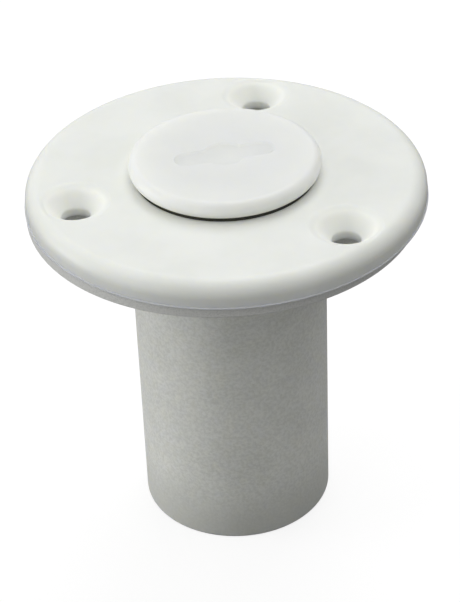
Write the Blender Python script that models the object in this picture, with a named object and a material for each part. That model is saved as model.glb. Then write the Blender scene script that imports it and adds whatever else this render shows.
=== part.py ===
"""Deck fill cap: a flanged filler body with a hose tail, closed by a screw cap.

All sizes are in metres and +Z points up. The origin is the centre of the hose tail's open end,
so the body stands on its tail with the flange on top and the cap above that.
"""

import math

import bmesh
import bpy
from mathutils import Matrix, Vector

# Filler body: a round flange moulded in one with a straight hose tail.
BODY_HEIGHT = 0.0748
FLANGE_RADIUS = 0.0380
FLANGE_THICKNESS = 0.0048
RIM_ROUND = 0.0030
RIM_LOWER_EDGE = 0.0003
TAIL_RADIUS = 0.0188
TAIL_WALL = 0.0025
TAIL_END_CHAMFER = 0.0005
TAIL_ROOT_CHAMFER = 0.0004
NECK_WALL = 0.0030

# Deck screws: three countersunk holes. The shares are of the ring between the head and the rim.
SCREW_COUNT = 3
SCREW_RING_SHARE = 0.558
SCREW_FIRST_ANGLE = math.radians(76.8)
SCREW_HOLE_RADIUS = 0.0027
COUNTERSINK_SHARE = 0.289
COUNTERSINK_DEPTH = 0.0032

# Screw thread between the neck and the cap's plug: right-handed, one start.
THREAD_PITCH = 0.0035
THREAD_DEPTH = 0.0011
THREAD_BASE_WIDTH = 0.0020
THREAD_CREST_WIDTH = 0.0009
THREAD_CLEARANCE = 0.0003
THREAD_ROOTING = 0.00025
NECK_THREAD_START = 0.0040
NECK_THREAD_LENGTH = 0.0075
PLUG_THREAD_LENGTH = 0.0065

# Cap: a low round head over a hollow threaded plug, with a shallow key slot across its top.
HEAD_RISE = 0.0038
HEAD_GAP = 0.0005
HEAD_OVERHANG = 0.0011
HEAD_ROUND = 0.0017
HEAD_FLOOR = 0.0030
PLUG_DEPTH = 0.0130
PLUG_WALL = 0.0026
PLUG_END_CHAMFER = 0.0006
SLOT_LENGTH = 0.0186
SLOT_WIDTH = 0.0042
SLOT_DEPTH = 0.0007
SLOT_HUB_RADIUS = 0.0038
SLOT_ANGLE = math.radians(12.0)
BOSS_RADIUS = 0.0036
BOSS_LENGTH = 0.0053

# Seals: an O-ring under the cap's head, and a flat gasket between flange and deck.
SEAL_SECTION_RADIUS = 0.0010
SEAT_EDGE_CHAMFER = 0.0002
GASKET_THICKNESS = 0.0020
GASKET_INSET = 0.00075
GASKET_TAIL_CLEARANCE = 0.0005
GASKET_HOLE_RADIUS = 0.0034
GASKET_SHIFT = (-0.0006, -0.0001)

# Fixings for the cap's retaining chain: a swivel eye under the cap and a ring in the tail.
SWIVEL_SCREW_RADIUS = 0.0015
SWIVEL_SCREW_BITE = 0.0042
SWIVEL_HEAD_RADIUS = 0.0030
SWIVEL_HEAD_HEIGHT = 0.0018
SWIVEL_HEAD_ROUND = 0.0009
SWIVEL_SLOT_WIDTH = 0.0008
SWIVEL_SLOT_DEPTH = 0.0007
EYE_STRIP_THICKNESS = 0.0008
EYE_STRIP_WIDTH = 0.0060
EYE_STRIP_REACH = 0.0070
EYE_STRIP_DROP = 0.0090
EYE_BEND_RADIUS = 0.0012
EYE_HOLE_RADIUS = 0.0016
ANCHOR_WIRE_RADIUS = 0.0007
ANCHOR_GROOVE_DEPTH = 0.0009
ANCHOR_BELOW_FLANGE = 0.0240
ANCHOR_LOOP_RADIUS = 0.0022
ANCHOR_ARC = math.radians(320.0)
ANCHOR_LOOP_ARC = math.radians(260.0)
ANCHOR_LOOP_ANGLE = math.radians(180.0)

# Space left between pieces that touch or turn on each other.
PIECE_GAP = 0.0003
GASKET_GAP = 0.0002

# Fineness of round shapes.
BODY_STEPS = 72
CAP_STEPS = 60
THREAD_STEPS_PER_TURN = 30
ROUND_STEPS = 6
HEAD_EDGE_STEPS = 8
HOLE_STEPS = 24
SEAL_STEPS = 60
SEAL_SECTION_STEPS = 10
SMALL_STEPS = 24
WIRE_STEP = math.radians(10.0)
SMOOTH_ANGLE = math.radians(32.0)
OVERCUT = 0.0010

# Places that follow from the sizes above.
FLANGE_TOP = BODY_HEIGHT
FLANGE_UNDER = FLANGE_TOP - FLANGE_THICKNESS
TAIL_BORE = TAIL_RADIUS - TAIL_WALL
NECK_BORE = TAIL_RADIUS - NECK_WALL
NECK_CREST = NECK_BORE - THREAD_DEPTH
PLUG_CREST = NECK_BORE - THREAD_CLEARANCE
PLUG_RADIUS = NECK_CREST - THREAD_CLEARANCE
PLUG_BORE = PLUG_RADIUS - PLUG_WALL
PLUG_END = FLANGE_TOP - PLUG_DEPTH
NECK_END = PLUG_END - THREAD_CLEARANCE
SEAL_RADIUS = PLUG_RADIUS + PIECE_GAP + SEAL_SECTION_RADIUS
HEAD_TOP = FLANGE_TOP + HEAD_RISE
HEAD_UNDER = FLANGE_TOP + HEAD_GAP
SEAL_CENTRE = HEAD_UNDER - PIECE_GAP - SEAL_SECTION_RADIUS
SEAT_FLOOR = SEAL_CENTRE - SEAL_SECTION_RADIUS - PIECE_GAP
SEAT_RADIUS = SEAL_RADIUS + SEAL_SECTION_RADIUS + PIECE_GAP
HEAD_RADIUS = SEAT_RADIUS + HEAD_OVERHANG
HEAD_CEILING = HEAD_TOP - HEAD_FLOOR
BOSS_END = HEAD_CEILING - BOSS_LENGTH
RING_WIDTH = FLANGE_RADIUS - HEAD_RADIUS
SCREW_CIRCLE = HEAD_RADIUS + SCREW_RING_SHARE * RING_WIDTH
COUNTERSINK_RADIUS = COUNTERSINK_SHARE * RING_WIDTH
PILOT_RADIUS = SWIVEL_SCREW_RADIUS + PIECE_GAP
EYE_TOP = BOSS_END - PIECE_GAP
EYE_UNDER = EYE_TOP - EYE_STRIP_THICKNESS
SWIVEL_HEAD_TOP = EYE_UNDER - PIECE_GAP
ANCHOR_HEIGHT = FLANGE_TOP - ANCHOR_BELOW_FLANGE
ANCHOR_GROOVE = TAIL_BORE + ANCHOR_GROOVE_DEPTH
ANCHOR_GROOVE_HALF = ANCHOR_WIRE_RADIUS + PIECE_GAP
ANCHOR_RADIUS = ANCHOR_GROOVE - PIECE_GAP - ANCHOR_WIRE_RADIUS
GASKET_TOP = FLANGE_UNDER - GASKET_GAP
GASKET_UNDER = GASKET_TOP - GASKET_THICKNESS
GASKET_RADIUS = FLANGE_RADIUS - GASKET_INSET
GASKET_BORE = TAIL_RADIUS + math.hypot(*GASKET_SHIFT) + GASKET_TAIL_CLEARANCE

WHITE_PLASTIC = (0.80, 0.81, 0.78, 1.0)
GASKET_WHITE = (0.68, 0.68, 0.65, 1.0)
BLACK_RUBBER = (0.025, 0.025, 0.022, 1.0)
STEEL = (0.62, 0.62, 0.60, 1.0)


def clear_scene():
    """Takes every object out of the scene."""
    for found in list(bpy.data.objects):
        bpy.data.objects.remove(found, do_unlink=True)


def material(name, colour, roughness, metallic=0.0):
    """A Principled material of one colour."""
    made = bpy.data.materials.new(name)
    made.use_nodes = True
    shader = made.node_tree.nodes["Principled BSDF"]
    shader.inputs["Base Color"].default_value = colour
    shader.inputs["Roughness"].default_value = roughness
    shader.inputs["Metallic"].default_value = metallic
    made.diffuse_color = colour
    return made


def arc(centre_r, centre_z, radius, start, end, steps=ROUND_STEPS):
    """Points of an arc in the turning plane, from one angle to another, ends included."""
    points = []
    for index in range(steps + 1):
        angle = start + (end - start) * index / steps
        r = centre_r + radius * math.cos(angle)
        z = centre_z + radius * math.sin(angle)
        points.append((r, z))
    return points


def new_object(name, bm, finish=None):
    """An object at the origin that holds a bmesh, with its faces pointing out."""
    bmesh.ops.recalc_face_normals(bm, faces=bm.faces)
    mesh = bpy.data.meshes.new(name)
    bm.to_mesh(mesh)
    bm.free()
    made = bpy.data.objects.new(name, mesh)
    bpy.context.scene.collection.objects.link(made)
    if finish:
        mesh.materials.append(finish)
    return made


def turned(outline, steps, closed=True):
    """A bmesh turned about Z from an outline of radius and height pairs.

    A closed outline is a ring's section. An open one starts and ends on the axis.
    """
    bm = bmesh.new()
    verts = []
    for r, z in outline:
        verts.append(bm.verts.new((r, 0.0, z)))
    pairs = list(zip(verts, verts[1:]))
    if closed:
        pairs.append((verts[-1], verts[0]))
    edges = [bm.edges.new(pair) for pair in pairs]
    bmesh.ops.spin(
        bm,
        geom=verts + edges,
        cent=(0.0, 0.0, 0.0),
        axis=(0.0, 0.0, 1.0),
        angle=math.tau,
        steps=steps,
        use_merge=True,
    )
    bmesh.ops.remove_doubles(bm, verts=bm.verts, dist=1e-6)
    return bm


def helical_ridge(base_radius, crest_radius, low, length, phase, fade):
    """A bmesh of one thread ridge, which rises anticlockwise and fades out at both ends.

    Its section is a trapezium with its wide side at base_radius.
    """
    bm = bmesh.new()
    turns = length / THREAD_PITCH
    count = max(int(round(turns * THREAD_STEPS_PER_TURN)), 2)
    rings = []
    for index in range(count + 1):
        angle = math.tau * turns * index / count
        height = low + THREAD_PITCH * angle / math.tau
        fullness = min(1.0, angle / fade, (math.tau * turns - angle) / fade)
        crest = base_radius + (crest_radius - base_radius) * fullness
        half_base = THREAD_BASE_WIDTH / 2
        half_crest = THREAD_CREST_WIDTH / 2 + (half_base - THREAD_CREST_WIDTH / 2) * (1 - fullness)
        section = (
            (base_radius, -half_base),
            (base_radius, half_base),
            (crest, half_crest),
            (crest, -half_crest),
        )
        direction = Vector((math.cos(angle + phase), math.sin(angle + phase), 0.0))
        ring = []
        for r, rise in section:
            ring.append(bm.verts.new(direction * r + Vector((0.0, 0.0, height + rise))))
        rings.append(ring)
    for lower, upper in zip(rings, rings[1:]):
        for index in range(len(lower)):
            following = (index + 1) % len(lower)
            bm.faces.new((lower[index], lower[following], upper[following], upper[index]))
    bm.faces.new(rings[0])
    bm.faces.new(reversed(rings[-1]))
    bmesh.ops.triangulate(bm, faces=bm.faces)
    return bm


def cylinder(radius, low, high, steps):
    """A bmesh of an upright cylinder on the Z axis."""
    return turned([(0.0, low), (radius, low), (radius, high), (0.0, high)], steps, closed=False)


def move(bm, matrix):
    """Moves every point of a bmesh and gives it back."""
    bmesh.ops.transform(bm, matrix=matrix, verts=bm.verts)
    return bm


def combine(piece, operation, tool_bm):
    """Adds or cuts a shape, and applies the result to the piece's own mesh."""
    tool = new_object(piece.name + "_tool", tool_bm)
    tool.hide_render = True
    tool.display_type = "WIRE"
    boolean = piece.modifiers.new(operation.lower(), "BOOLEAN")
    boolean.operation = operation
    boolean.solver = "EXACT"
    boolean.object = tool
    bpy.context.view_layer.update()
    evaluated = piece.evaluated_get(bpy.context.evaluated_depsgraph_get())
    result = bpy.data.meshes.new_from_object(evaluated)
    piece.modifiers.clear()
    previous = piece.data
    piece.data = result
    result.name = piece.name
    bpy.data.meshes.remove(previous)
    bpy.data.objects.remove(tool, do_unlink=True)


def finish_mesh(piece):
    """Welds hair-thin edges and shades the round faces smooth."""
    bm = bmesh.new()
    bm.from_mesh(piece.data)
    bmesh.ops.remove_doubles(bm, verts=bm.verts, dist=2e-6)
    bmesh.ops.dissolve_degenerate(bm, edges=bm.edges, dist=2e-6)
    bm.to_mesh(piece.data)
    bm.free()
    piece.data.shade_smooth()
    piece.data.set_sharp_from_angle(angle=SMOOTH_ANGLE)


def screw_places():
    """The centres of the deck screws on the flange."""
    places = []
    for index in range(SCREW_COUNT):
        angle = SCREW_FIRST_ANGLE + math.tau * index / SCREW_COUNT
        places.append((SCREW_CIRCLE * math.cos(angle), SCREW_CIRCLE * math.sin(angle)))
    return places


def body_outline():
    """The filler body's section, anticlockwise from the tail's outer lower edge."""
    rim_round = min(RIM_ROUND, FLANGE_THICKNESS - RIM_LOWER_EDGE)
    groove_low = ANCHOR_HEIGHT - ANCHOR_GROOVE_HALF
    groove_high = ANCHOR_HEIGHT + ANCHOR_GROOVE_HALF
    points = [
        (TAIL_RADIUS - TAIL_END_CHAMFER, 0.0),
        (TAIL_RADIUS, TAIL_END_CHAMFER),
        (TAIL_RADIUS, FLANGE_UNDER - TAIL_ROOT_CHAMFER),
        (TAIL_RADIUS + TAIL_ROOT_CHAMFER, FLANGE_UNDER),
        (FLANGE_RADIUS - RIM_LOWER_EDGE, FLANGE_UNDER),
        (FLANGE_RADIUS, FLANGE_UNDER + RIM_LOWER_EDGE),
    ]
    points += arc(FLANGE_RADIUS - rim_round, FLANGE_TOP - rim_round, rim_round, 0.0, math.pi / 2)
    points += [
        (SEAT_RADIUS + SEAT_EDGE_CHAMFER, FLANGE_TOP),
        (SEAT_RADIUS, FLANGE_TOP - SEAT_EDGE_CHAMFER),
        (SEAT_RADIUS, SEAT_FLOOR),
        (NECK_BORE, SEAT_FLOOR),
        (NECK_BORE, NECK_END),
        (TAIL_BORE, NECK_END - (TAIL_BORE - NECK_BORE)),
        (TAIL_BORE, groove_high),
        (ANCHOR_GROOVE, groove_high),
        (ANCHOR_GROOVE, groove_low),
        (TAIL_BORE, groove_low),
        (TAIL_BORE, TAIL_END_CHAMFER),
        (TAIL_BORE + TAIL_END_CHAMFER, 0.0),
    ]
    return points


def screw_hole_cutter(x, y):
    """The hole for one deck screw with its countersink, longer than the flange is thick."""
    flare = (COUNTERSINK_RADIUS - SCREW_HOLE_RADIUS) / COUNTERSINK_DEPTH
    outline = [
        (0.0, FLANGE_UNDER - OVERCUT),
        (SCREW_HOLE_RADIUS, FLANGE_UNDER - OVERCUT),
        (SCREW_HOLE_RADIUS, FLANGE_TOP - COUNTERSINK_DEPTH),
        (COUNTERSINK_RADIUS + flare * OVERCUT, FLANGE_TOP + OVERCUT),
        (0.0, FLANGE_TOP + OVERCUT),
    ]
    return move(turned(outline, HOLE_STEPS, closed=False), Matrix.Translation((x, y, 0.0)))


def make_filler_body(finish):
    """Flange, neck and hose tail in one moulding, with the neck's thread inside."""
    body = new_object("filler_body", turned(body_outline(), BODY_STEPS), finish)
    ridge = helical_ridge(
        NECK_BORE + THREAD_ROOTING,
        NECK_CREST,
        FLANGE_TOP - NECK_THREAD_START - NECK_THREAD_LENGTH,
        NECK_THREAD_LENGTH,
        math.pi / BODY_STEPS,
        math.radians(40.0),
    )
    combine(body, "UNION", ridge)
    for x, y in screw_places():
        combine(body, "DIFFERENCE", screw_hole_cutter(x, y))
    finish_mesh(body)
    return body


def make_deck_gasket(finish):
    """The flat ring under the flange. Its bore is loose on the tail, and it lies a little off centre."""
    outline = [
        (GASKET_BORE, GASKET_UNDER),
        (GASKET_RADIUS, GASKET_UNDER),
        (GASKET_RADIUS, GASKET_TOP),
        (GASKET_BORE, GASKET_TOP),
    ]
    gasket = new_object("deck_gasket", turned(outline, BODY_STEPS), finish)
    for x, y in screw_places():
        hole = cylinder(GASKET_HOLE_RADIUS, GASKET_UNDER - OVERCUT, GASKET_TOP + OVERCUT, HOLE_STEPS)
        combine(gasket, "DIFFERENCE", move(hole, Matrix.Translation((x, y, 0.0))))
    finish_mesh(gasket)
    gasket.location = (GASKET_SHIFT[0], GASKET_SHIFT[1], 0.0)
    return gasket


def cap_outline():
    """The cap's section from the middle of its top, round the head and plug, to the boss's end."""
    middle = HEAD_TOP - HEAD_ROUND
    foot = -math.asin(min(1.0, (middle - HEAD_UNDER) / HEAD_ROUND))
    edge = arc(HEAD_RADIUS - HEAD_ROUND, middle, HEAD_ROUND, foot, math.pi / 2, HEAD_EDGE_STEPS)
    points = [(0.0, HEAD_TOP)]
    points += reversed(edge)
    points += [
        (PLUG_RADIUS, HEAD_UNDER),
        (PLUG_RADIUS, PLUG_END + PLUG_END_CHAMFER),
        (PLUG_RADIUS - PLUG_END_CHAMFER, PLUG_END),
        (PLUG_BORE, PLUG_END),
        (PLUG_BORE, HEAD_CEILING),
        (BOSS_RADIUS, HEAD_CEILING),
        (BOSS_RADIUS, BOSS_END),
        (PILOT_RADIUS, BOSS_END),
        (PILOT_RADIUS, BOSS_END + SWIVEL_SCREW_BITE + PIECE_GAP),
        (0.0, BOSS_END + SWIVEL_SCREW_BITE + PIECE_GAP),
    ]
    return points


def key_slot_cutter():
    """A straight slot with round ends."""
    half = SLOT_LENGTH / 2 - SLOT_WIDTH / 2
    corners = []
    for side, start in ((1, -math.pi / 2), (-1, math.pi / 2)):
        for x, y in arc(side * half, 0.0, SLOT_WIDTH / 2, start, start + math.pi, SMALL_STEPS // 3):
            corners.append((x, y))
    bm = bmesh.new()
    face = bm.faces.new([bm.verts.new((x, y, HEAD_TOP - SLOT_DEPTH)) for x, y in corners])
    extruded = bmesh.ops.extrude_face_region(bm, geom=[face])
    raised = [item for item in extruded["geom"] if isinstance(item, bmesh.types.BMVert)]
    bmesh.ops.translate(bm, verts=raised, vec=(0.0, 0.0, SLOT_DEPTH + OVERCUT))
    return move(bm, Matrix.Rotation(SLOT_ANGLE, 4, "Z"))


def make_cap(finish):
    """The screw cap, with its origin on the axis it turns about."""
    cap = new_object("cap", turned(cap_outline(), CAP_STEPS, closed=False), finish)
    ridge = helical_ridge(
        PLUG_RADIUS - THREAD_ROOTING,
        PLUG_CREST,
        FLANGE_TOP - NECK_THREAD_START - NECK_THREAD_LENGTH + THREAD_PITCH / 2,
        PLUG_THREAD_LENGTH,
        math.pi / CAP_STEPS,
        math.radians(40.0),
    )
    combine(cap, "UNION", ridge)
    combine(cap, "DIFFERENCE", key_slot_cutter())
    hub = cylinder(SLOT_HUB_RADIUS, HEAD_TOP - SLOT_DEPTH, HEAD_TOP + OVERCUT, SMALL_STEPS)
    combine(cap, "DIFFERENCE", hub)
    finish_mesh(cap)
    return cap


def make_cap_o_ring(finish):
    """The rubber ring that the head presses into the seat at the top of the neck."""
    section = arc(SEAL_RADIUS, SEAL_CENTRE, SEAL_SECTION_RADIUS, 0.0, math.tau, SEAL_SECTION_STEPS)
    ring = new_object("cap_o_ring", turned(section[:-1], SEAL_STEPS), finish)
    finish_mesh(ring)
    return ring


def make_chain_swivel_screw(finish):
    """The round-headed screw that holds the swivel eye to the boss under the cap."""
    low = SWIVEL_HEAD_TOP - SWIVEL_HEAD_HEIGHT
    corner = arc(
        SWIVEL_HEAD_RADIUS - SWIVEL_HEAD_ROUND,
        low + SWIVEL_HEAD_ROUND,
        SWIVEL_HEAD_ROUND,
        -math.pi / 2,
        0.0,
        ROUND_STEPS // 2,
    )
    outline = [(0.0, low)] + corner
    outline += [
        (SWIVEL_HEAD_RADIUS, SWIVEL_HEAD_TOP),
        (SWIVEL_SCREW_RADIUS, SWIVEL_HEAD_TOP),
        (SWIVEL_SCREW_RADIUS, BOSS_END + SWIVEL_SCREW_BITE - SWIVEL_SCREW_RADIUS),
        (0.0, BOSS_END + SWIVEL_SCREW_BITE),
    ]
    screw = new_object("chain_swivel_screw", turned(outline, SMALL_STEPS, closed=False), finish)
    bm = bmesh.new()
    bmesh.ops.create_cube(bm, size=1.0)
    across = 2 * SWIVEL_HEAD_RADIUS + 2 * OVERCUT
    depth = SWIVEL_SLOT_DEPTH + OVERCUT
    placed = Matrix.Translation((0.0, 0.0, low + SWIVEL_SLOT_DEPTH - depth / 2))
    scaled = Matrix.Diagonal((across, SWIVEL_SLOT_WIDTH, depth, 1.0))
    combine(screw, "DIFFERENCE", move(bm, placed @ scaled))
    finish_mesh(screw)
    return screw


def make_chain_swivel_eye(finish):
    """A bent strip that turns freely on its screw. The chain hooks into its hanging leg."""
    outer = EYE_BEND_RADIUS + EYE_STRIP_THICKNESS
    bend_x = EYE_STRIP_REACH - EYE_BEND_RADIUS
    bend_z = EYE_UNDER - EYE_BEND_RADIUS
    start_x = -EYE_STRIP_WIDTH / 2
    section = [(start_x, EYE_UNDER)]
    section += reversed(arc(bend_x, bend_z, EYE_BEND_RADIUS, 0.0, math.pi / 2))
    section += [
        (EYE_STRIP_REACH, EYE_TOP - EYE_STRIP_DROP),
        (EYE_STRIP_REACH + EYE_STRIP_THICKNESS, EYE_TOP - EYE_STRIP_DROP),
    ]
    section += arc(bend_x, bend_z, outer, 0.0, math.pi / 2)
    section.append((start_x, EYE_TOP))
    bm = bmesh.new()
    face = bm.faces.new([bm.verts.new((x, -EYE_STRIP_WIDTH / 2, z)) for x, z in section])
    extruded = bmesh.ops.extrude_face_region(bm, geom=[face])
    moved = [item for item in extruded["geom"] if isinstance(item, bmesh.types.BMVert)]
    bmesh.ops.translate(bm, verts=moved, vec=(0.0, EYE_STRIP_WIDTH, 0.0))
    eye = new_object("chain_swivel_eye", bm, finish)
    pivot = cylinder(PILOT_RADIUS, EYE_UNDER - OVERCUT, EYE_TOP + OVERCUT, SMALL_STEPS)
    combine(eye, "DIFFERENCE", pivot)
    reach = cylinder(EYE_HOLE_RADIUS, -OVERCUT, EYE_STRIP_THICKNESS + OVERCUT, SMALL_STEPS)
    hole_height = EYE_TOP - EYE_STRIP_DROP + EYE_STRIP_WIDTH / 2
    placed = Matrix.Translation((EYE_STRIP_REACH, 0.0, hole_height))
    combine(eye, "DIFFERENCE", move(reach, placed @ Matrix.Rotation(math.pi / 2, 4, "Y")))
    finish_mesh(eye)
    return eye


def make_chain_anchor_ring(finish):
    """A sprung wire ring in the tail's groove, curled in at one end to take the chain."""
    points = []
    start = ANCHOR_LOOP_ANGLE - ANCHOR_ARC
    arc_steps = int(round(ANCHOR_ARC / WIRE_STEP))
    for index in range(arc_steps + 1):
        angle = start + ANCHOR_ARC * index / arc_steps
        points.append(Vector((ANCHOR_RADIUS * math.cos(angle), ANCHOR_RADIUS * math.sin(angle), 0.0)))
    out = Vector((math.cos(ANCHOR_LOOP_ANGLE), math.sin(ANCHOR_LOOP_ANGLE), 0.0))
    along = Vector((-out.y, out.x, 0.0))
    loop_steps = int(round(ANCHOR_LOOP_ARC / (2 * WIRE_STEP)))
    for index in range(1, loop_steps + 1):
        turn = ANCHOR_LOOP_ARC * index / loop_steps
        centre = out * (ANCHOR_RADIUS - ANCHOR_LOOP_RADIUS)
        offset = out * math.cos(turn) + along * math.sin(turn)
        points.append(centre + offset * ANCHOR_LOOP_RADIUS)
    curve = bpy.data.curves.new("chain_anchor_ring", "CURVE")
    curve.dimensions = "3D"
    curve.bevel_depth = ANCHOR_WIRE_RADIUS
    curve.bevel_resolution = 2
    curve.use_fill_caps = True
    spline = curve.splines.new("POLY")
    spline.points.add(len(points) - 1)
    for place, point in zip(spline.points, points):
        place.co = (point.x, point.y, point.z, 1.0)
    spline.use_smooth = True
    curve.materials.append(finish)
    ring = bpy.data.objects.new("chain_anchor_ring", curve)
    bpy.context.scene.collection.objects.link(ring)
    ring.location = (0.0, 0.0, ANCHOR_HEIGHT)
    return ring


def main():
    clear_scene()
    shell = material("white_moulding", WHITE_PLASTIC, 0.42)
    lid = material("cap_moulding", WHITE_PLASTIC, 0.38)
    foam = material("gasket_foam", GASKET_WHITE, 0.85)
    rubber = material("seal_rubber", BLACK_RUBBER, 0.60)
    screw_steel = material("screw_steel", STEEL, 0.30, 1.0)
    eye_steel = material("eye_steel", STEEL, 0.35, 1.0)
    wire_steel = material("wire_steel", STEEL, 0.28, 1.0)
    make_filler_body(shell)
    make_deck_gasket(foam)
    make_cap(lid)
    make_cap_o_ring(rubber)
    make_chain_swivel_screw(screw_steel)
    make_chain_swivel_eye(eye_steel)
    make_chain_anchor_ring(wire_steel)


main()
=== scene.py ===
# %% [markdown]
# # A deck fill cap in white plastic
# A boat's fuel or water is poured in through a fitting like this. A round flange is screwed to the
# deck, a plain tail hangs below it for the hose, and a low screw cap closes the mouth. This
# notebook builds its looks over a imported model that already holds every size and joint. The first
# step loads that model, so that each finer piece below can take its place from the real one.

# %% Load the fixed model
import math

import bmesh
import bpy
from mathutils import Matrix, Vector


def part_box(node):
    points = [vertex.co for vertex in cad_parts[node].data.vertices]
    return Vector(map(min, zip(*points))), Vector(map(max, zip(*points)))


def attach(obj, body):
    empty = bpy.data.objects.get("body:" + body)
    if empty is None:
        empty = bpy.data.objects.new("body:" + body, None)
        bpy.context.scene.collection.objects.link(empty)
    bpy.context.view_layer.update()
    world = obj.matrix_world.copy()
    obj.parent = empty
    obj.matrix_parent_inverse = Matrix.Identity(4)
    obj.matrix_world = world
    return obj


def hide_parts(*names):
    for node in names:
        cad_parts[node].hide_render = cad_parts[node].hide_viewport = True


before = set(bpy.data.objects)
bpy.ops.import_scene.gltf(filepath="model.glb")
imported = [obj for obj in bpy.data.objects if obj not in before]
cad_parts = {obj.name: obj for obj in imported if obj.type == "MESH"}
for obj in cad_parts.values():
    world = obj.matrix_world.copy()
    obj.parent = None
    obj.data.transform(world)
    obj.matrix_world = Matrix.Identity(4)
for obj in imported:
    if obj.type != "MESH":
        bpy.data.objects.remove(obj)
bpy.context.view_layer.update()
print("pieces in the model:", ", ".join(sorted(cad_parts)))

# %% [markdown]
# ## The camera first
# A product is best framed before it is finished, because the view decides how fine each detail has
# to be. A long lens from a little over a third of a metre keeps the round flange from bulging. The
# camera looks down at about 32 degrees, so the mouth, the rim's round and the tail all show.
# The camera's own axes are worked out from where it stands and what it looks at, then turned by a
# small roll.

# %% Camera
mouth = Vector((0.0, 0.0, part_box("filler_body")[1].z))
CAMERA_DISTANCE = 0.3847
CAMERA_ELEVATION = math.radians(31.78)
CAMERA_ROLL = math.radians(-2.415)
CAMERA_LENS = 122.58
LOOK_AT = mouth + Vector((-0.00015, 0.0, -0.02991))

stand = mouth + CAMERA_DISTANCE * Vector((0.0, -math.cos(CAMERA_ELEVATION), math.sin(CAMERA_ELEVATION)))
ahead = (LOOK_AT - stand).normalized()
level = ahead.cross(Vector((0.0, 0.0, 1.0))).normalized()
upright = level.cross(ahead)
right = level * math.cos(CAMERA_ROLL) + upright * math.sin(CAMERA_ROLL)
top = upright * math.cos(CAMERA_ROLL) - level * math.sin(CAMERA_ROLL)

camera = bpy.data.objects.new("camera", bpy.data.cameras.new("camera"))
bpy.context.scene.collection.objects.link(camera)
camera.data.lens = CAMERA_LENS
camera.data.sensor_width = 36.0
camera.data.clip_start = 0.01
camera.matrix_world = Matrix.Translation(stand) @ Matrix((right, top, -ahead)).transposed().to_4x4()
bpy.context.scene.camera = camera
print(f"camera {CAMERA_DISTANCE * 1000:.0f} mm from the flange's middle")

# %% [markdown]
# ## Sizes, read from the model
# Each size that the model can tell is measured on it, so the finer shapes follow if it changes.
# A node's box gives its height and width. For a size inside the box, such as the tail's radius,
# a helper looks at the points in a thin slice and gives the smallest and largest radius there.

# %% Measuring helper and main sizes
def reach(node, low, high):
    """The smallest and largest distance from the middle axis of a node's points in a slice."""
    found = [math.hypot(v.co.x, v.co.y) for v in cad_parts[node].data.vertices if low <= v.co.z <= high]
    return min(found), max(found)


FLANGE_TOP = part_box("filler_body")[1].z
FLANGE_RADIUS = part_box("filler_body")[1].x
FLANGE_UNDER = FLANGE_TOP - 0.0048
TAIL_BORE, TAIL_RADIUS = reach("filler_body", -0.0001, 0.0010)
SEAT_RADIUS = reach("filler_body", FLANGE_TOP - 0.0003, FLANGE_TOP - 0.0001)[0]
HEAD_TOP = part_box("cap")[1].z
HEAD_RADIUS = SEAT_RADIUS + 0.0011
HEAD_UNDER = FLANGE_TOP + 0.0004
PLUG_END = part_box("cap")[0].z
SEAL_LOW, SEAL_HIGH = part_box("cap_o_ring")[0].z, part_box("cap_o_ring")[1].z
GASKET_LOW, GASKET_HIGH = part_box("deck_gasket")
SCREW_HEAD_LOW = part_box("chain_swivel_screw")[0].z
SHANK_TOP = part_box("chain_swivel_screw")[1].z
EYE_LOW, EYE_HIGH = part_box("chain_swivel_eye")
WIRE_LOW, WIRE_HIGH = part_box("chain_anchor_ring")
for name, radius in (("flange", FLANGE_RADIUS), ("tail", TAIL_RADIUS), ("cap", HEAD_RADIUS)):
    print(f"{name} {2000 * radius:.1f} mm across")

# %% Sizes of the details
RIM_ROUND = 0.0030
PARTING_LIP = 0.00020
PARTING_LIP_HEIGHT = 0.00030
NECK_BORE = TAIL_RADIUS - 0.0030
THREAD_DEPTH = 0.0011
THREAD_CLEARANCE = 0.0003
THREAD_PITCH = 0.0035
THREAD_BASE = 0.0020
THREAD_CREST = 0.0009
PLUG_RADIUS = NECK_BORE - THREAD_DEPTH - THREAD_CLEARANCE
PLUG_BORE = PLUG_RADIUS - 0.0026
NECK_END = PLUG_END - THREAD_CLEARANCE
SEAT_FLOOR = SEAL_LOW - 0.00035
SCREW_CIRCLE = HEAD_RADIUS + 0.558 * (FLANGE_RADIUS - HEAD_RADIUS)
SCREW_ANGLES = [math.radians(76.8 + 120 * index) for index in range(3)]
HOLE_RADIUS = 0.0027
COUNTERSINK_RADIUS = 0.0058
COUNTERSINK_DEPTH = 0.0032
HEAD_CEILING = HEAD_TOP - 0.0030
BOSS_END = HEAD_CEILING - 0.0053
GROOVE_RADIUS = TAIL_BORE + 0.0009
PIECE_GAP = 0.0003
OVERCUT = 0.0010

# %% [markdown]
# ## Outlines with rounded corners
# No corner on a moulding is sharp, because the steel mould is cut with round tools and the plastic
# has to let go of it. An outline could be typed point by point, but it reads better as its few
# corners, each with the radius of its round. This helper turns such a list into points: it steps
# back from the corner to where the arc begins, and walks round the arc to where it ends.

# %% Outline helper
def rounded(corners, closed=True, steps=6):
    """Points of an outline from (x, y, radius) corners, with each corner rounded to its radius."""
    points = []
    count = len(corners)
    for index, (x, y, radius) in enumerate(corners):
        here = Vector((x, y))
        if radius == 0.0 or (not closed and index in (0, count - 1)):
            points.append(here)
            continue
        before = (Vector(corners[index - 1][:2]) - here).normalized()
        after = (Vector(corners[(index + 1) % count][:2]) - here).normalized()
        half = before.angle(after) / 2
        centre = here + (before + after).normalized() * (radius / math.sin(half))
        start = here + before * (radius / math.tan(half)) - centre
        end = here + after * (radius / math.tan(half)) - centre
        sweep = start.angle_signed(end)
        for step in range(steps + 1):
            points.append(centre + Matrix.Rotation(-sweep * step / steps, 2) @ start)
    return points


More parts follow.
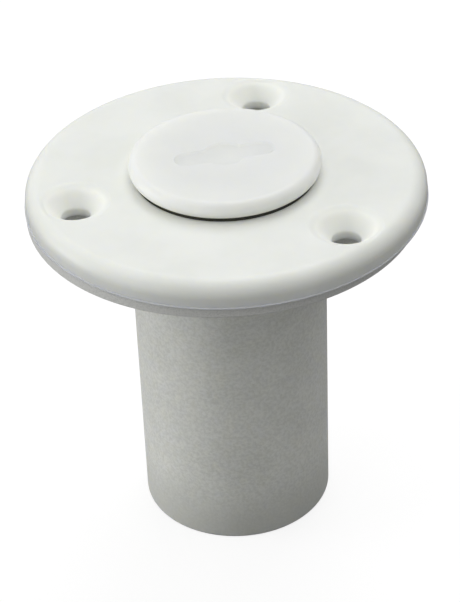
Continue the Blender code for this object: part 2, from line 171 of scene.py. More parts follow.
check = rounded([(0, 0, 0), (1, 0, 0.2), (1, 1, 0)], closed=False)
print("a rounded corner has", len(check), "points")

# %% [markdown]
# ## Turning, joining and cutting
# Round pieces are made as on a lathe: the outline is spun about the upright axis. Threads are
# joined on and holes are cut by Booleans, each with a clean closed shape. The result is applied to
# the mesh at once. Last, the faces are shaded smooth and their normals are weighted by area, so a
# wide flat face stays flat right up to the small round beside it.

# %% Mesh helpers
TURN_STEPS = 192
SMOOTH_ANGLE = math.radians(35)


def turned(outline, steps=TURN_STEPS, closed=True):
    """A bmesh spun about the upright axis from outline points (radius, height)."""
    bm = bmesh.new()
    verts = [bm.verts.new((r, 0.0, z)) for r, z in outline]
    pairs = list(zip(verts, verts[1:])) + ([(verts[-1], verts[0])] if closed else [])
    edges = [bm.edges.new(pair) for pair in pairs]
    bmesh.ops.spin(bm, geom=verts + edges, cent=(0, 0, 0), axis=(0, 0, 1), angle=math.tau,
                   steps=steps, use_merge=True)
    bmesh.ops.remove_doubles(bm, verts=bm.verts, dist=1e-7)
    return bm


def as_object(name, bm):
    """An object that holds the bmesh, with every face pointing out."""
    bmesh.ops.recalc_face_normals(bm, faces=bm.faces)
    if bm.calc_volume(signed=True) < 0.0:
        bmesh.ops.reverse_faces(bm, faces=bm.faces)
    mesh = bpy.data.meshes.new(name)
    bm.to_mesh(mesh)
    bm.free()
    made = bpy.data.objects.new(name, mesh)
    bpy.context.scene.collection.objects.link(made)
    return made


def applied(piece):
    """Makes what the piece's modifiers show its own mesh."""
    bpy.context.view_layer.update()
    shown = piece.evaluated_get(bpy.context.evaluated_depsgraph_get())
    result = bpy.data.meshes.new_from_object(shown)
    piece.modifiers.clear()
    piece.data, previous = result, piece.data
    bpy.data.meshes.remove(previous)
    return piece


def combine(piece, operation, bm):
    """Joins a shape to the piece, or cuts it away."""
    tool = as_object(piece.name + "_tool", bm)
    change = piece.modifiers.new("change", "BOOLEAN")
    change.operation, change.solver, change.object = operation, "EXACT", tool
    applied(piece)
    bpy.data.objects.remove(tool, do_unlink=True)


def shade(piece, angle=SMOOTH_ANGLE):
    """Smooth shading with sharp edges kept, and normals that favour the wide flat faces."""
    piece.data.shade_smooth()
    piece.data.set_sharp_from_angle(angle=angle)
    weigh = piece.modifiers.new("weigh", "WEIGHTED_NORMAL")
    weigh.keep_sharp = True
    weigh.weight = 80
    applied(piece)
    print(f"{piece.name}: {len(piece.data.polygons)} faces")
    return piece


def placed(bm, matrix):
    """The bmesh, moved."""
    bmesh.ops.transform(bm, matrix=matrix, verts=bm.verts)
    return bm


# %% [markdown]
# ## The screw thread
# Cap and neck hold each other by a coarse moulded thread: one ridge winds down inside the neck,
# and another winds down the plug half a pitch away from it. A Screw modifier could sweep a
# section, but it can't let the ridge fade out at its ends as a moulded one does. So the section,
# a trapezium with round shoulders, is carried along the helix by a loop, and grows out of the
# wall and back into it over a fraction of a turn.

# %% Thread ridge
THREAD_STEPS = 96
THREAD_FADE = math.radians(45)


def ridge_section(base, crest):
    """Half widths and radii across the ridge, from one foot over the crest to the other foot."""
    shape = []
    for share, lift in ((1.0, 0.0), (0.86, 0.30), (0.72, 0.62), (0.58, 0.88), (0.42, 1.0)):
        shape.append((share * THREAD_BASE / 2, base + (crest - base) * lift))
    return [(-width, r) for width, r in shape] + [(width, r) for width, r in reversed(shape)]


def thread_ridge(base, crest, low, length):
    """A bmesh of a ridge whose foot is at radius base and whose crest is at radius crest."""
    bm = bmesh.new()
    turns = length / THREAD_PITCH
    count = round(turns * THREAD_STEPS)
    rings = []
    for index in range(count + 1):
        angle = math.tau * turns * index / count
        nearest_end = min(angle, math.tau * turns - angle)
        fullness = min(1.0, nearest_end / THREAD_FADE) ** 0.7
        out = Vector((math.cos(angle), math.sin(angle), 0.0))
        height = low + THREAD_PITCH * angle / math.tau
        ring = []
        for width, r in ridge_section(base, crest):
            r = base + (r - base) * fullness
            ring.append(bm.verts.new(out * r + Vector((0.0, 0.0, height + width))))
        rings.append(ring)
    for lower, upper in zip(rings, rings[1:]):
        for index in range(len(lower)):
            after = (index + 1) % len(lower)
            bm.faces.new((lower[index], lower[after], upper[after], upper[index]))
    bm.faces.new(rings[0])
    bm.faces.new(rings[-1])
    bmesh.ops.triangulate(bm, faces=bm.faces)
    return bm


NECK_THREAD_LOW = FLANGE_TOP - 0.0115
NECK_THREAD_LENGTH = 0.0075
PLUG_THREAD_LENGTH = 0.0065
ROOTING = 0.00025

# %% [markdown]
# ## Flange and hose tail
# The flange, the neck and the tail come out of the mould as one piece, and so they are one mesh
# here. Its outline runs up the outside of the tail, round the soft rim, in to the seat that the
# cap's seal lies in, and down the bore. Where the two halves of the mould met, at the foot of the
# rim, a hair of plastic crept between them, and that lip is in the outline because it catches the
# light as a thin line. The three screw holes are cut with a turned tool whose lip flares out until
# it lies flat on the flange, which leaves the soft-edged dish of a moulded countersink.

# %% The white moulding
def moulding_outline():
    """The section of flange, neck and tail, anticlockwise from the foot of the tail."""
    wire_middle = (WIRE_LOW.z + WIRE_HIGH.z) / 2
    half_groove = (WIRE_HIGH.z - WIRE_LOW.z) / 2 + PIECE_GAP
    return rounded([
        (TAIL_RADIUS, 0.0, 0.0005),
        (TAIL_RADIUS, FLANGE_UNDER, 0.0005),
        (FLANGE_RADIUS, FLANGE_UNDER, 0.00005),
        (FLANGE_RADIUS, FLANGE_UNDER + PARTING_LIP_HEIGHT, 0.00008),
        (FLANGE_RADIUS - PARTING_LIP, FLANGE_UNDER + PARTING_LIP_HEIGHT, 0.00004),
        (FLANGE_RADIUS - PARTING_LIP, FLANGE_TOP, RIM_ROUND),
        (SEAT_RADIUS, FLANGE_TOP, 0.0004),
        (SEAT_RADIUS, SEAT_FLOOR, 0.0003),
        (NECK_BORE, SEAT_FLOOR, 0.0003),
        (NECK_BORE, NECK_END, 0.0002),
        (TAIL_BORE, NECK_END - 0.0008, 0.0004),
        (TAIL_BORE, wire_middle + half_groove, 0.0001),
        (GROOVE_RADIUS, wire_middle + half_groove, 0.0002),
        (GROOVE_RADIUS, wire_middle - half_groove, 0.0002),
        (TAIL_BORE, wire_middle - half_groove, 0.0001),
        (TAIL_BORE, 0.0, 0.0006),
    ], steps=8)


LIP_ROUND = 0.0040
LIP_LIFT = 0.000006


def screw_hole_tool(angle):
    """What a deck screw and its head need: a hole, a countersink and a lip that flares out flat."""
    top = FLANGE_TOP + LIP_LIFT
    outline = rounded([
        (0.0, FLANGE_UNDER - OVERCUT, 0.0),
        (HOLE_RADIUS, FLANGE_UNDER - OVERCUT, 0.0),
        (HOLE_RADIUS, FLANGE_TOP - COUNTERSINK_DEPTH, 0.0006),
        (COUNTERSINK_RADIUS, top, LIP_ROUND),
        (COUNTERSINK_RADIUS + 0.0022, top + 0.00008, 0.0),
        (COUNTERSINK_RADIUS + 0.0022, top + OVERCUT, 0.0),
        (0.0, top + OVERCUT, 0.0),
    ], closed=False, steps=10)
    across = Vector((math.cos(angle), math.sin(angle), 0.0)) * SCREW_CIRCLE
    return placed(turned(outline, steps=64, closed=False), Matrix.Translation(across))


moulding = as_object("flange_and_tail", turned(moulding_outline()))
neck_ridge = thread_ridge(NECK_BORE + ROOTING, NECK_BORE - THREAD_DEPTH, NECK_THREAD_LOW, NECK_THREAD_LENGTH)
combine(moulding, "UNION", neck_ridge)
for angle in SCREW_ANGLES:
    combine(moulding, "DIFFERENCE", screw_hole_tool(angle))
shade(moulding)
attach(moulding, "filler")
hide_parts("filler_body")

# %% [markdown]
# ## The cap
# The cap is a hollow plug under a low head. Its head's top is flat, and its edge is well rounded
# for bare feet. A shallow key slot with a round middle lies across the top. The slot's edge is a
# formula: along each direction from the middle it is the further of the round middle and the
# straight slot with its round ends. Rings of that edge, wider at the top, are stacked into a tool
# with soft shoulders, and the tool is cut out of the head.

# %% The key slot's tool
SLOT_HALF_LENGTH = 0.0093
SLOT_HALF_WIDTH = 0.0021
SLOT_HUB = 0.0038
SLOT_DEPTH = 0.00030
SLOT_SHOULDER = 0.00020
SLOT_TURN = math.radians(12.0)
SLOT_STEPS = 240


def slot_edge(angle, spread):
    """How far the slot's edge is from its middle in one direction, with the slot made wider by spread."""
    width = SLOT_HALF_WIDTH + spread
    run = SLOT_HALF_LENGTH - SLOT_HALF_WIDTH
    side, rise = abs(math.cos(angle)), abs(math.sin(angle))
    straight = width / max(rise, 1e-9)
    if straight * side > run:
        straight = run * side + math.sqrt(max(width ** 2 - (run * rise) ** 2, 0.0))
    return max(straight, SLOT_HUB + spread)


def slot_angles():
    """Directions spaced closely towards the slot's two ends, where its edge is furthest."""
    angles = []
    for index in range(SLOT_STEPS):
        turn = math.tau * index / SLOT_STEPS
        angles.append(turn - 0.42 * math.sin(2 * turn))
    return angles


def key_slot_tool():
    """A bmesh of the slot, from its floor up to its soft shoulders and past the top of the head."""
    top, floor = HEAD_TOP + LIP_LIFT, HEAD_TOP - SLOT_DEPTH
    levels = [(floor, -0.0004), (floor + 0.00002, -0.0002), (floor + 0.00009, 0.0)]
    for step in range(7):
        bend = math.pi / 2 * step / 6
        spread = SLOT_SHOULDER * (1 - math.cos(bend)) + 0.00002 * step
        levels.append((top - SLOT_SHOULDER * math.cos(bend), spread))
    levels.append((top + OVERCUT, SLOT_SHOULDER + 0.0002))
    bm = bmesh.new()
    rings = []
    for height, spread in levels:
        ring = []
        for angle in slot_angles():
            far = slot_edge(angle, spread)
            ring.append(bm.verts.new((far * math.cos(angle), far * math.sin(angle), height)))
        rings.append(ring)
    for lower, upper in zip(rings, rings[1:]):
        for index in range(SLOT_STEPS):
            after = (index + 1) % SLOT_STEPS
            bm.faces.new((lower[index], lower[after], upper[after], upper[index]))
    bm.faces.new(rings[0])
    bm.faces.new(rings[-1])
    return placed(bm, Matrix.Rotation(SLOT_TURN, 4, "Z"))


# %% Head, plug and boss
HEAD_ROUND = 0.0017
EDGE_STEPS = 20


def head_edge():
    """The full round at the edge of the head, from where the flat top ends to the head's underside."""
    middle = HEAD_TOP - HEAD_ROUND
    drop = middle - HEAD_UNDER
    foot = -math.asin(drop / HEAD_ROUND) if drop < HEAD_ROUND else -math.pi / 2
    points = []
    for step in range(EDGE_STEPS + 1):
        bend = math.pi / 2 + (foot - math.pi / 2) * step / EDGE_STEPS
        out = HEAD_RADIUS - HEAD_ROUND * (1 - math.cos(bend))
        points.append((out, middle + HEAD_ROUND * math.sin(bend), 0.0))
    return points


def cap_outline():
    """The cap's section from the middle of its top, over the edge and down to the boss."""
    pilot = 0.0018
    return rounded([(0.0, HEAD_TOP, 0.0)] + head_edge() + [
        (PLUG_RADIUS, HEAD_UNDER, 0.0002),
        (PLUG_RADIUS, PLUG_END, 0.0006),
        (PLUG_BORE, PLUG_END, 0.0003),
        (PLUG_BORE, HEAD_CEILING, 0.0010),
        (0.0036, HEAD_CEILING, 0.0006),
        (0.0036, BOSS_END, 0.0003),
        (pilot, BOSS_END, 0.0002),
        (pilot, SHANK_TOP + PIECE_GAP, 0.0003),
        (0.0, SHANK_TOP + PIECE_GAP, 0.0),
    ], closed=False, steps=8)


cap = as_object("screw_cap", turned(cap_outline(), closed=False))
plug_ridge = thread_ridge(PLUG_RADIUS - ROOTING, NECK_BORE - THREAD_CLEARANCE,
                          NECK_THREAD_LOW + THREAD_PITCH / 2, PLUG_THREAD_LENGTH)
combine(cap, "UNION", plug_ridge)
combine(cap, "DIFFERENCE", key_slot_tool())
shade(cap)
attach(cap, "cap")
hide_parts("cap")

# %% [markdown]
# ## Seals
# Two soft pieces keep the sea out. The O-ring under the cap's head is a plain torus of black
# rubber. It shows as the dark line round the cap. The gasket under the flange is punched from
# foam sheet: its edges are a little rounded by the punch, its bore is loose on the tail, and it has
# slipped a fraction of a millimetre off centre, so that its edge peeps out on one side.

# %% O-ring and gasket
seal_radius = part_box("cap_o_ring")[1].x - (SEAL_HIGH - SEAL_LOW) / 2
seal_half = (SEAL_HIGH - SEAL_LOW) / 2
seal_section = []
for index in range(32):
    angle = math.tau * index / 32
    out = seal_radius + seal_half * math.cos(angle)
    seal_section.append((out, SEAL_LOW + seal_half * (1 + math.sin(angle))))
seal = shade(as_object("head_seal_ring", turned(seal_section)), math.radians(80))
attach(seal, "cap")
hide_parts("cap_o_ring")

GASKET_HOLE = 0.0034
GASKET_RAISE = 0.00015
gasket_middle = (GASKET_LOW + GASKET_HIGH) / 2
gasket_radius = (GASKET_HIGH.x - GASKET_LOW.x) / 2
gasket_bore = TAIL_RADIUS + math.hypot(gasket_middle.x, gasket_middle.y) + 0.0005
gasket_shape = rounded([
    (gasket_bore, GASKET_LOW.z, 0.0002),
    (gasket_radius, GASKET_LOW.z, 0.0003),
    (gasket_radius, GASKET_HIGH.z + GASKET_RAISE, 0.0001),
    (gasket_bore, GASKET_HIGH.z + GASKET_RAISE, 0.0002),
], steps=4)
gasket = as_object("deck_gasket_sheet", turned(gasket_shape))
for angle in SCREW_ANGLES:
    punched = turned([(0, GASKET_LOW.z - OVERCUT), (GASKET_HOLE, GASKET_LOW.z - OVERCUT),
                      (GASKET_HOLE, GASKET_HIGH.z + OVERCUT), (0, GASKET_HIGH.z + OVERCUT)],
                     steps=48, closed=False)
    across = Vector((math.cos(angle), math.sin(angle), 0.0)) * SCREW_CIRCLE
    combine(gasket, "DIFFERENCE", placed(punched, Matrix.Translation(across)))
shade(gasket)
gasket.location = (gasket_middle.x, gasket_middle.y, 0.0)
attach(gasket, "filler")
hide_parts("deck_gasket")

# %% [markdown]
# ## The chain's fixings
# A loose cap is soon lost over the side, so it is held by a chain inside the tail. The chain
# isn't part of this model, but what it hooks into is. Under the cap, a round-headed screw carries
# a bent strip that stays still while the cap turns. Lower down, a sprung wire ring sits in a groove
# in the tail. These are small metal pieces, so their edges are broken by a narrow bevel, which
# catches the light as a tumbled edge does.

# %% Swivel screw
head_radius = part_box("chain_swivel_screw")[1].x
screw_head_top = SCREW_HEAD_LOW + 0.0018
shank = 0.0015
screw_shape = rounded([
    (0.0, SCREW_HEAD_LOW, 0.0),
    (head_radius, SCREW_HEAD_LOW, 0.0011),
    (head_radius, screw_head_top, 0.0002),
    (shank, screw_head_top, 0.0001),
    (shank, SHANK_TOP - shank, 0.0003),
    (0.0, SHANK_TOP, 0.0),
], closed=False)
swivel_screw = as_object("swivel_screw", turned(screw_shape, steps=64, closed=False))
driver = bmesh.new()
bmesh.ops.create_cube(driver, size=1.0)
bit = Matrix.Translation((0, 0, SCREW_HEAD_LOW - 0.0003)) @ Matrix.Diagonal((0.010, 0.0008, 0.0020, 1.0))
combine(swivel_screw, "DIFFERENCE", placed(driver, bit))
shade(swivel_screw)
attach(swivel_screw, "cap")
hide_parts("chain_swivel_screw")

# %% Swivel eye
strip = 0.0008
bend = 0.0012
half_width = EYE_HIGH.y
strip_path = rounded([
    (EYE_LOW.x, EYE_HIGH.z, 0.0),
    (EYE_LOW.x, EYE_HIGH.z - strip, 0.0),
    (EYE_HIGH.x - strip, EYE_HIGH.z - strip, bend),
    (EYE_HIGH.x - strip, EYE_LOW.z, 0.0),
    (EYE_HIGH.x, EYE_LOW.z, 0.0),
    (EYE_HIGH.x, EYE_HIGH.z, bend + strip),
], steps=12)
blank = bmesh.new()
side = blank.faces.new([blank.verts.new((x, -half_width, z)) for x, z in strip_path])
grown = bmesh.ops.extrude_face_region(blank, geom=[side])["geom"]
bmesh.ops.translate(blank, verts=[g for g in grown if isinstance(g, bmesh.types.BMVert)],
                    vec=(0, 2 * half_width, 0))
eye = as_object("swivel_eye", blank)
pivot_hole = turned([(0, EYE_HIGH.z - 0.003), (0.0018, EYE_HIGH.z - 0.003),
                     (0.0018, EYE_HIGH.z + 0.001), (0, EYE_HIGH.z + 0.001)], steps=48, closed=False)
combine(eye, "DIFFERENCE", pivot_hole)
chain_hole = turned([(0, -0.002), (0.0016, -0.002), (0.0016, 0.002), (0, 0.002)], steps=48, closed=False)
turn_over = Matrix.Translation((EYE_HIGH.x, 0, EYE_LOW.z + half_width)) @ Matrix.Rotation(math.pi / 2, 4, "Y")
combine(eye, "DIFFERENCE", placed(chain_hole, turn_over))
broken = eye.modifiers.new("broken_edges", "BEVEL")
broken.width = 0.00015
broken.segments = 2
broken.limit_method = "ANGLE"
broken.angle_limit = math.radians(50)
applied(eye)
shade(eye)
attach(eye, "swivel")
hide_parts("chain_swivel_eye")

# %% Anchor ring
wire = (WIRE_HIGH.z - WIRE_LOW.z) / 2
ring_radius = GROOVE_RADIUS - PIECE_GAP - wire
LOOP_RADIUS = 0.0022
RING_ARC = math.radians(320)
LOOP_ARC = math.radians(260)
path = []
for index in range(97):
    angle = math.pi - RING_ARC * (1 - index / 96)
    path.append(Vector((ring_radius * math.cos(angle), ring_radius * math.sin(angle), 0.0)))
loop_middle = Vector((LOOP_RADIUS - ring_radius, 0.0, 0.0))
for index in range(1, 33):
    angle = math.pi + LOOP_ARC * index / 32
    path.append(loop_middle + LOOP_RADIUS * Vector((math.cos(angle), math.sin(angle), 0.0)))
wire_curve = bpy.data.curves.new("anchor_ring", "CURVE")
wire_curve.dimensions = "3D"
wire_curve.bevel_depth = wire
wire_curve.bevel_resolution = 5
wire_curve.use_fill_caps = True
line = wire_curve.splines.new("POLY")
line.points.add(len(path) - 1)
for place, point in zip(line.points, path):
    place.co = (*point, 1.0)
wire_guide = bpy.data.objects.new("wire_guide", wire_curve)
bpy.context.scene.collection.objects.link(wire_guide)
bpy.context.view_layer.update()
drawn_wire = bpy.data.meshes.new_from_object(wire_guide.evaluated_get(bpy.context.evaluated_depsgraph_get()))
bpy.data.objects.remove(wire_guide, do_unlink=True)
drawn_wire.transform(Matrix.Translation((0, 0, (WIRE_LOW.z + WIRE_HIGH.z) / 2)))
anchor = bpy.data.objects.new("anchor_ring", drawn_wire)
bpy.context.scene.collection.objects.link(anchor)
shade(anchor)
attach(anchor, "filler")
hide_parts("chain_anchor_ring")
print(f"wire ring {2000 * ring_radius:.1f} mm across, {2000 * wire:.1f} mm wire")

# %% [markdown]
# ## Writing finishes as sums
# A finish is a recipe: a little more grey where the noise is high, a little rougher towards the
# rim. Written as node links, such a recipe can't be read. So a small class holds one socket and
# lets Python's own signs add the Math nodes, and another class holds the material and makes every
# other node in one call. Colours and directions go through Mix and Vector Math nodes, because a
# Math node would turn them grey.

# %% Shader helpers
class Signal:
    """One value that varies over a surface. Sums with it add Math nodes to its material."""

    def __init__(self, finish, socket):
        self.finish = finish
        self.socket = socket

    def maths(self, operation, *values):
        node = self.finish.node("ShaderNodeMath", {"operation": operation},
                                {index: value for index, value in enumerate(values)})
        return Signal(self.finish, node.outputs[0])

    def __add__(self, other):
        return self.maths("ADD", self, other)

    __radd__ = __add__

    def __sub__(self, other):
        return self.maths("SUBTRACT", self, other)

    def __rsub__(self, other):
        return self.maths("SUBTRACT", other, self)

    def __mul__(self, other):
        return self.maths("MULTIPLY", self, other)

    __rmul__ = __mul__

    def above(self, low, high):
        """0 below low, 1 above high, and a soft step between."""
        node = self.finish.node("ShaderNodeMapRange", {"interpolation_type": "SMOOTHSTEP"},
                                {"Value": self, "From Min": low, "From Max": high})
        return Signal(self.finish, node.outputs["Result"])


class Finish:
    """A material, its shader, and the one call that adds any node to it."""

    def __init__(self, name):
        self.material = bpy.data.materials.new(name)
        self.material.use_nodes = True
        self.tree = self.material.node_tree
        self.shader = self.tree.nodes["Principled BSDF"]
        place = self.node("ShaderNodeTexCoord", {}, {})
        self.place = Signal(self, place.outputs["Object"])
        apart = self.node("ShaderNodeSeparateXYZ", {}, {0: self.place})
        self.x, self.y, self.z = (Signal(self, output) for output in apart.outputs)

    def node(self, kind, settings, sockets):
        """Adds a node: its settings first, then the values or links of its sockets."""
        made = self.tree.nodes.new(kind)
        for name, value in settings.items():
            if name == "stops":
                self.set_stops(made.color_ramp, value)
            else:
                setattr(made, name, value)
        for name, value in sockets.items():
            if isinstance(value, Signal):
                self.tree.links.new(value.socket, made.inputs[name])
            else:
                made.inputs[name].default_value = value
        return made

    def set_stops(self, ramp, stops):
        while len(ramp.elements) < len(stops):
            ramp.elements.new(1.0)
        for element, (position, colour) in zip(ramp.elements, stops):
            element.position, element.color = position, colour

    def noise(self, scale, detail=2.0, rough=0.5, place=None):
        """Cloudy noise from 0 to 1, with scale in clouds per metre."""
        node = self.node("ShaderNodeTexNoise", {}, {
            "Vector": place or self.place, "Scale": scale, "Detail": detail, "Roughness": rough})
        return Signal(self, node.outputs["Fac"])

    def cells(self, scale, feature="F1"):
        """Distance to the nearest of scattered points, and a random colour for each."""
        node = self.node("ShaderNodeTexVoronoi", {"feature": feature}, {"Vector": self.place, "Scale": scale})
        return Signal(self, node.outputs["Distance"]), node

    def stretched(self, x, y, z):
        """The place on the surface with each direction scaled, for streaks."""
        node = self.node("ShaderNodeVectorMath", {"operation": "MULTIPLY"}, {0: self.place, 1: (x, y, z)})
        return Signal(self, node.outputs[0])

    def radius(self):
        """Distance from the upright middle axis."""
        flat = self.stretched(1.0, 1.0, 0.0)
        node = self.node("ShaderNodeVectorMath", {"operation": "LENGTH"}, {0: flat})
        return Signal(self, node.outputs["Value"])

    def mixed(self, amount, first, second):
        """A colour that goes from first to second with amount."""
        node = self.node("ShaderNodeMix", {"data_type": "RGBA"}, {0: amount, 6: first, 7: second})
        return Signal(self, node.outputs[2])

    def bump(self, height, distance, after=None):
        """A bump of the given height in metres, laid over an earlier one."""
        sockets = {"Height": height, "Distance": distance, "Strength": 1.0}
        if after:
            sockets["Normal"] = after
        return Signal(self, self.node("ShaderNodeBump", {}, sockets).outputs["Normal"])

    def set(self, **sockets):
        """Sets or links the shader's own sockets, named with _ for a space."""
        for name, value in sockets.items():
            socket = self.shader.inputs[name.replace("_", " ")]
            if isinstance(value, Signal):
                self.tree.links.new(value.socket, socket)
            else:
                socket.default_value = value

    def soaked(self, share, depth):
        """Lets light soak into the surface and come out again up to about depth metres away."""
        self.set(Subsurface_Weight=share, Subsurface_Scale=depth, Subsurface_Radius=(1.0, 0.95, 0.75))

    def onto(self, piece):
        piece.data.materials.clear()
        piece.data.materials.append(self.material)
        print(f"{self.material.name}: {len(self.tree.nodes)} nodes, on {piece.name}")


# %% [markdown]
# ## White plastic
# Flange and tail are one plastic but not one surface. The flange's face came from a polished
# mould: it is satin, with a very fine orange peel. The tail came from a blasted one, and is matt
# and mottled. So one recipe carries both, and blends them by height. Handling leaves both
# slightly uneven: faint cloudy greying, a few specks of dirt, and a rim that has been rubbed
# smoother than the face. The base is painted paler in a ring round the cap and in the screw
# dishes: painted light that lifts the soft shadows there. The tail is painted darker towards its
# foot: painted shade near the floor.

# %% Finish of the flange and tail
def plastic(name, grain):
    """What all the white mouldings share. Gives back the finish with its clouds and specks."""
    finish = Finish(name)
    clouds = finish.noise(90.0, detail=3.0)
    fine = finish.noise(grain, detail=2.0, rough=0.6)
    spots, spot_node = finish.cells(150.0)
    spot_colour = Signal(finish, spot_node.outputs["Color"])
    pick = Signal(finish, finish.node("ShaderNodeSeparateColor", {}, {0: spot_colour}).outputs[0])
    specks = (1 - spots.above(0.020, 0.045)) * pick.above(0.90, 0.93)
    return finish, clouds, fine, specks


GRAIN = 2600.0
WHITE = (0.815, 0.832, 0.800, 1.0)
GREYED = (0.775, 0.792, 0.757, 1.0)
TAIL_WHITE = (0.865, 0.878, 0.836, 1.0)
TAIL_GREY = (0.685, 0.697, 0.652, 1.0)
# Grey for painted shade at the tail's foot, where it stands on the floor.
FOOT_PAINTED_SHADE = (0.560, 0.570, 0.530, 1.0)
# Paler white, painted light where soft shadows fall round the cap and in the screw dishes.
SHADOW_LIFT_WHITE = (0.905, 0.920, 0.870, 1.0)
SHADOW_LIFT_SHARE = 0.9
DIRT = (0.34, 0.32, 0.26, 1.0)


def finish_moulding():
    finish, clouds, fine, specks = plastic("white_moulding", GRAIN)
    on_face = finish.z.above(FLANGE_UNDER - 0.0002, FLANGE_UNDER + 0.0002)
    mottle = finish.noise(1500.0, detail=3.0, rough=0.65)
    face = finish.mixed(clouds.above(0.35, 0.75), WHITE, GREYED)
    tail = finish.mixed(mottle.above(0.30, 0.70) * 0.7 + clouds.above(0.3, 0.7) * 0.3, TAIL_WHITE, TAIL_GREY)
    # Painted shade: the tail is painted greyer over its lowest 15 mm, near the floor.
    foot = 1 - finish.z.above(0.0, 0.0150)
    tail = finish.mixed(foot * 0.75, tail, FOOT_PAINTED_SHADE)
    # Painted light: the base is made paler in a ring round the cap's seat and in the screw dishes, lifting
    # the soft shadows there.
    painted_light_ring = (1 - finish.radius().above(SEAT_RADIUS, SEAT_RADIUS + 0.0045)) * on_face
    from_axis = finish.radius()
    painted_light_dishes = (1 - finish.z.above(FLANGE_TOP - 0.0006, FLANGE_TOP - 0.00002)) * from_axis.above(0.0215, 0.0220)
    painted_light_dishes = painted_light_dishes * (1 - from_axis.above(FLANGE_RADIUS - 0.0034, FLANGE_RADIUS - 0.0030)) * on_face
    face = finish.mixed(painted_light_ring.maths("MAXIMUM", painted_light_ring, painted_light_dishes) * SHADOW_LIFT_SHARE, face, SHADOW_LIFT_WHITE)
    base = finish.mixed(on_face, tail, face)
    base = finish.mixed(specks * 0.8, base, DIRT)
    rubbed = finish.radius().above(FLANGE_RADIUS - 0.0030, FLANGE_RADIUS) * on_face
    face_rough = 0.40 + clouds * 0.12 - rubbed * 0.08 + fine * 0.04
    tail_rough = 0.66 + mottle * 0.14
    rough = face_rough * on_face + tail_rough * (1 - on_face)
    peel = finish.noise(700.0, detail=1.0)
    relief = (fine * 0.35 + peel * 0.65) * on_face * 0.30 + (mottle * 0.7 + fine * 0.3) * (1 - on_face)
    finish.set(Base_Color=base, Roughness=rough, Normal=finish.bump(relief, 0.00006), IOR=1.49)
    finish.soaked(1.0, 0.0018)
    return finish


moulding_finish = finish_moulding()
moulding_finish.onto(moulding)

# %% [markdown]
# ## The cap's plastic
# The cap is moulded from the same white plastic, but it is handled far more than the rest. Its
# top is rubbed a shade smoother, and the slot is greyed in patches. The thin lower edge of the head
# is painted warmer: painted light for the yellow glow of light soaking through it.

# %% Finish of the cap
# A warm tint, painted light on the head's thin lower edge.
PAINTED_GLOW_WARM = (0.800, 0.800, 0.690, 1.0)
CAP_WHITE = (0.812, 0.828, 0.783, 1.0)
CAP_GREY = (0.788, 0.804, 0.759, 1.0)
SLOT_GREY = (0.768, 0.784, 0.735, 1.0)


def finish_cap():
    finish, clouds, fine, specks = plastic("white_cap", GRAIN)
    top = finish.mixed(clouds.above(0.35, 0.75), CAP_WHITE, CAP_GREY)
    # Painted light: the head's lower edge is tinted warm for the glow of light soaking through it.
    low_edge = 1 - finish.z.above(HEAD_UNDER, HEAD_UNDER + 0.0022)
    painted_glow_edge = finish.mixed(low_edge * 0.85, top, PAINTED_GLOW_WARM)
    # The slot is greyed in patches.
    near_slot = 1 - finish.radius().above(0.0110, 0.0118)
    in_slot = (1 - finish.z.above(HEAD_TOP - SLOT_DEPTH, HEAD_TOP - 0.0002)) * near_slot
    slot_greyed = finish.mixed(in_slot * clouds.above(0.25, 0.65) * 0.7, painted_glow_edge, SLOT_GREY)
    base = finish.mixed(specks * 0.7, slot_greyed, DIRT)
    rough = 0.36 + clouds * 0.14 + fine * 0.04 + in_slot * 0.12
    peel = finish.noise(650.0, detail=1.0)
    finish.set(Base_Color=base, Roughness=rough, IOR=1.49,
               Normal=finish.bump(fine * 0.3 + peel * 0.7, 0.000022))
    finish.soaked(1.0, 0.0065)
    return finish


cap_finish = finish_cap()
cap_finish.onto(cap)

# %% [markdown]
# ## Foam and rubber
# Closed-cell foam shows its cut cells as tiny pits, more on the cut edge than on the skin. Voronoi
# cells give pits of about the right size. The O-ring is black nitrile rubber: nearly even, dull,
# with a bloom of dust that dries on it as a lighter film.

# %% Finish of the gasket and the O-ring
FOAM_CUT = (0.62, 0.625, 0.60, 1.0)
FOAM_SKIN = (0.74, 0.745, 0.72, 1.0)
RUBBER = (0.055, 0.056, 0.046, 1.0)
RUBBER_BLOOM = (0.14, 0.14, 0.11, 1.0)


def finish_foam():
    finish = Finish("gasket_foam")
    pits, _ = finish.cells(2600.0)
    clouds = finish.noise(140.0, detail=3.0)
    base = finish.mixed(pits.above(0.1, 0.6) * 0.6 + clouds * 0.3, FOAM_CUT, FOAM_SKIN)
    finish.set(Base_Color=base, Roughness=0.80 + clouds * 0.15, Normal=finish.bump(pits, 0.00008))
    return finish


def finish_rubber():
    finish = Finish("seal_rubber")
    dust = finish.noise(420.0, detail=4.0, rough=0.6)
    base = finish.mixed(dust.above(0.45, 0.75) * 0.5, RUBBER, RUBBER_BLOOM)
    finish.set(Base_Color=base, Roughness=0.55 + dust * 0.3, Normal=finish.bump(dust, 0.00003))
    return finish


finish_foam().onto(gasket)
finish_rubber().onto(seal)

# %% [markdown]
# ## Stainless steel
# The three steel pieces were made in three ways, and it shows. The screw was turned, so its
# marks are rings about its axis. The strip was stamped and tumbled, which leaves short scratches
# in every direction. The wire was drawn through a die, so its marks run along it. All three are
# metal with the same grey, and only the pattern of their roughness and bump differs.

# %% Finishes of the steel pieces
STEEL_LIGHT = (0.66, 0.65, 0.63, 1.0)
STEEL_DARK = (0.46, 0.455, 0.44, 1.0)
TURNED_RINGS = 38000.0


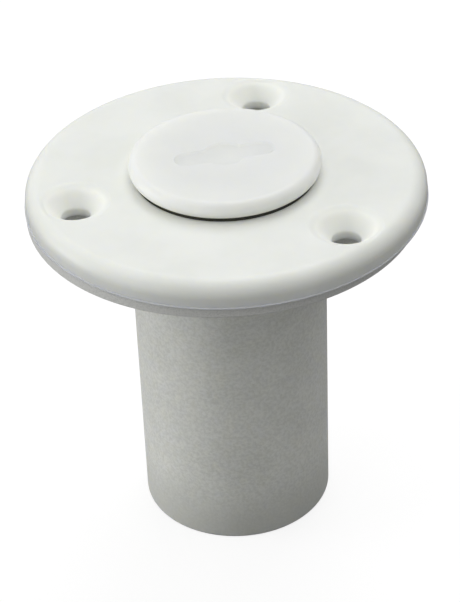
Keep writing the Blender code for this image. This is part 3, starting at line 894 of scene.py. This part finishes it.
def finish_steel(name, marks_of):
    finish = Finish(name)
    marks = marks_of(finish)
    stain = finish.noise(260.0, detail=4.0)
    base = finish.mixed(marks * 0.5 + stain.above(0.5, 0.8) * 0.5, STEEL_LIGHT, STEEL_DARK)
    finish.set(Base_Color=base, Metallic=1.0, Roughness=0.24 + marks * 0.14 + stain * 0.12,
               Normal=finish.bump(marks, 0.00001))
    return finish


def turned_marks(finish):
    rings = finish.radius() * TURNED_RINGS
    return rings.maths("SINE", rings) * 0.5 + 0.5


def tumbled_marks(finish):
    one_way = finish.noise(1.0, detail=3.0, place=finish.stretched(900.0, 5200.0, 900.0))
    other_way = finish.noise(1.0, detail=3.0, place=finish.stretched(4800.0, 800.0, 4800.0))
    return one_way.above(0.45, 0.7) * 0.5 + other_way.above(0.45, 0.7) * 0.5


def drawn_marks(finish):
    return finish.noise(1.0, detail=2.0, place=finish.stretched(350.0, 350.0, 9000.0))


finish_steel("turned_steel", turned_marks).onto(swivel_screw)
finish_steel("tumbled_steel", tumbled_marks).onto(eye)
finish_steel("drawn_steel", drawn_marks).onto(anchor)

# %% [markdown]
# ## A plain studio
# The piece stands on a pale sheet among six soft boxes of light. The strongest two stand on the
# left and hang behind, so the left of the tail is brighter than its right. The world adds a dim
# even light from all round. The sheet glows a little by itself, so that it looks plain white, and
# a darker one just under it is what throws light back up at the piece.

# %% Floor
SHEET_HALF = 6.0
SHEET_GLOW = 0.80
PALE = (0.25, 0.25, 0.25, 1.0)
DARKER = (0.08, 0.08, 0.08, 1.0)


def sheet_of(name, half, height, colour, glow=0.0):
    bm = bmesh.new()
    bmesh.ops.create_grid(bm, x_segments=2, y_segments=2, size=half)
    made = as_object(name, placed(bm, Matrix.Translation((0, 0, height))))
    finish = Finish(name)
    paper = finish.noise(60.0, detail=4.0)
    shade_of = tuple(channel * 0.985 for channel in colour[:3]) + (1.0,)
    finish.set(Base_Color=finish.mixed(paper * 0.5, colour, shade_of), Roughness=0.9)
    if glow:
        finish.set(Emission_Color=(1.0, 1.0, 1.0, 1.0), Emission_Strength=glow)
    finish.onto(made)
    return made


floor = sheet_of("floor", SHEET_HALF, 0.0, PALE, SHEET_GLOW)
floor.visible_diffuse = False
floor.visible_glossy = False
floor.visible_shadow = False
under_floor = sheet_of("under_floor", SHEET_HALF, -0.0005, DARKER)
under_floor.visible_camera = False

# %% Lights
def soft_box(name, place, target, size, power):
    lamp = bpy.data.lights.new(name, "AREA")
    lamp.shape = "RECTANGLE"
    lamp.size, lamp.size_y = size
    lamp.energy = power
    made = bpy.data.objects.new(name, lamp)
    made.location = place
    made.rotation_euler = (Vector(target) - Vector(place)).to_track_quat("-Z", "Y").to_euler()
    bpy.context.scene.collection.objects.link(made)
    return made


MIDDLE = (0.0, 0.0, 0.05)
soft_box("left", (-1.1, 0.0, 0.25), MIDDLE, (0.6, 0.5), 4.0)
soft_box("left_front", (-0.8, -0.8, 0.25), MIDDLE, (0.6, 0.5), 1.7)
soft_box("over_back", (0.1, 0.5, 0.85), MIDDLE, (0.6, 0.6), 3.5)
soft_box("over_left", (-0.5, -0.1, 0.8), MIDDLE, (0.6, 0.6), 1.2)
soft_box("over_right", (0.5, -0.1, 0.8), MIDDLE, (0.6, 0.6), 1.2)
soft_box("right", (1.2, -0.2, 0.3), MIDDLE, (0.6, 0.6), 0.5)

world = bpy.data.worlds.new("studio")
bpy.context.scene.world = world
world.use_nodes = True
world.node_tree.nodes["Background"].inputs["Color"].default_value = (1.0, 1.0, 1.0, 1.0)
world.node_tree.nodes["Background"].inputs["Strength"].default_value = 0.40
bpy.context.scene.view_settings.view_transform = "Standard"
